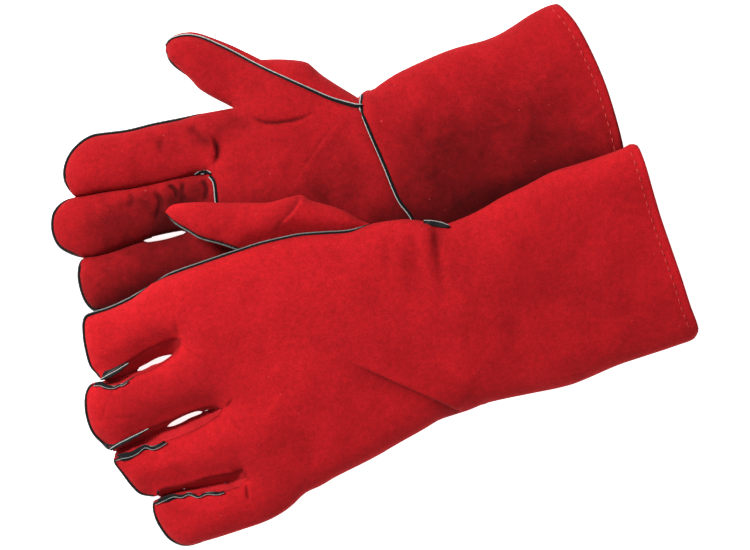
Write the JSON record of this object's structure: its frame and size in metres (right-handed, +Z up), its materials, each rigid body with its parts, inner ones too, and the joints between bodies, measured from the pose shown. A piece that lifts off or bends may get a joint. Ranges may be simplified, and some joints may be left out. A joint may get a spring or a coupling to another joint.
{
  "type": "welding gloves",
  "caption": "Pair of lined red suede leather gauntlet gloves with welted seams, one palm up and one laid over it with the back up, hollow digits and open cuffs.",
  "frame": {"origin": "centre of the pair's footprint, on the surface it lies on", "axes": "+X from the fingertips towards the cuffs, +Y towards the thumb side, +Z up"},
  "size_m": [0.3858, 0.3266, 0.0556],
  "materials": {
    "suede": "matte napped split leather",
    "fork": "matte napped split leather",
    "welt": "smooth black strip with a grey cut edge",
    "fleece": "soft cotton fleece",
    "canvas": "plain canvas",
    "thread": "heat-resistant sewing thread"
  },
  "bodies": {
    "right_hand": {"right_back": "suede", "right_cuff_back": "suede", "right_cuff_lining": "canvas", "right_cuff_palm": "suede", "right_finger_forks": "fork", "right_fingers_welt": "welt", "right_hand_lining": "fleece", "right_hem_stitches": "thread", "right_middle_fingers_front": "suede", "right_palm": "suede", "right_palm_seam_welt": "welt", "right_side_welt": "welt", "right_wrist_welt": "welt"},
    "left_hand": {"left_back": "suede", "left_hand_lining": "fleece", "left_palm": "suede", "left_palm_seam_welt": "welt", "left_side_welt": "welt", "left_wrist_welt": "welt"},
    "left_cuff": {"left_cuff_back": "suede", "left_cuff_lining": "canvas", "left_cuff_palm": "suede", "left_hem_stitches": "thread"},
    "right_thumb": {"right_thumb_back": "suede", "right_thumb_front": "suede", "right_thumb_lining": "fleece", "right_thumb_welt": "welt"},
    "right_index": {"right_index_back": "suede", "right_index_fork": "fork", "right_index_front": "suede", "right_index_lining": "fleece", "right_index_welt": "welt"},
    "left_thumb": {"left_thumb_back": "suede", "left_thumb_front": "suede", "left_thumb_lining": "fleece", "left_thumb_welt": "welt"},
    "left_index": {"left_index_back": "suede", "left_index_fork": "fork", "left_index_front": "suede", "left_index_lining": "fleece", "left_index_welt": "welt"},
    "left_middle": {"left_middle_back": "suede", "left_middle_fork": "fork", "left_middle_front": "suede", "left_middle_lining": "fleece", "left_middle_welt": "welt"},
    "left_ring": {"left_ring_back": "suede", "left_ring_fork": "fork", "left_ring_front": "suede", "left_ring_lining": "fleece", "left_ring_welt": "welt"},
    "left_little": {"left_little_back": "suede", "left_little_fork": "fork", "left_little_front": "suede", "left_little_lining": "fleece", "left_little_welt": "welt"}
  },
  "joints": [
    {"name": "right_index_bend", "type": "hinge", "parent": "right_hand", "child": "right_index", "pos_m": [-0.10028, 0.08092, 0.0241], "axis": [-0.1822, 0.9833, 0], "range_deg": [0, 55]},
    {"name": "right_thumb_bend", "type": "hinge", "parent": "right_hand", "child": "right_thumb", "pos_m": [-0.04863, 0.10799, 0.01688], "axis": [0.994, 0.1095, 0], "range_deg": [0, 40]},
    {"name": "left_index_bend", "type": "hinge", "parent": "left_hand", "child": "left_index", "pos_m": [-0.12121, -0.02135, 0.05224], "axis": [-0.4274, 0.8781, 0.2151], "range_deg": [0, 35]},
    {"name": "left_middle_bend", "type": "hinge", "parent": "left_hand", "child": "left_middle", "pos_m": [-0.10316, -0.05845, 0.04315], "axis": [-0.4274, 0.8781, 0.2151], "range_deg": [0, 35]},
    {"name": "left_ring_bend", "type": "hinge", "parent": "left_hand", "child": "left_ring", "pos_m": [-0.08455, -0.09668, 0.03379], "axis": [-0.4274, 0.8781, 0.2151], "range_deg": [0, 35]},
    {"name": "left_little_bend", "type": "hinge", "parent": "left_hand", "child": "left_little", "pos_m": [-0.06825, -0.13018, 0.02558], "axis": [-0.4274, 0.8781, 0.2151], "range_deg": [0, 35]},
    {"name": "left_thumb_bend", "type": "hinge", "parent": "left_hand", "child": "left_thumb", "pos_m": [-0.04587, 0.02559, 0.04907], "axis": [0.9824, 0.1837, -0.0343], "range_deg": [0, 40]},
    {"name": "left_wrist_bend", "type": "hinge", "parent": "left_hand", "child": "left_cuff", "pos_m": [0.04863, -0.02259, 0.04295], "axis": [0.3259, -0.9203, -0.2164], "range_deg": [0, 35]},
    {"name": "left_lift", "type": "slide", "parent": "right_hand", "child": "left_hand", "axis": [0, 0, 1], "range_m": [0, 0.25]}
  ]
}
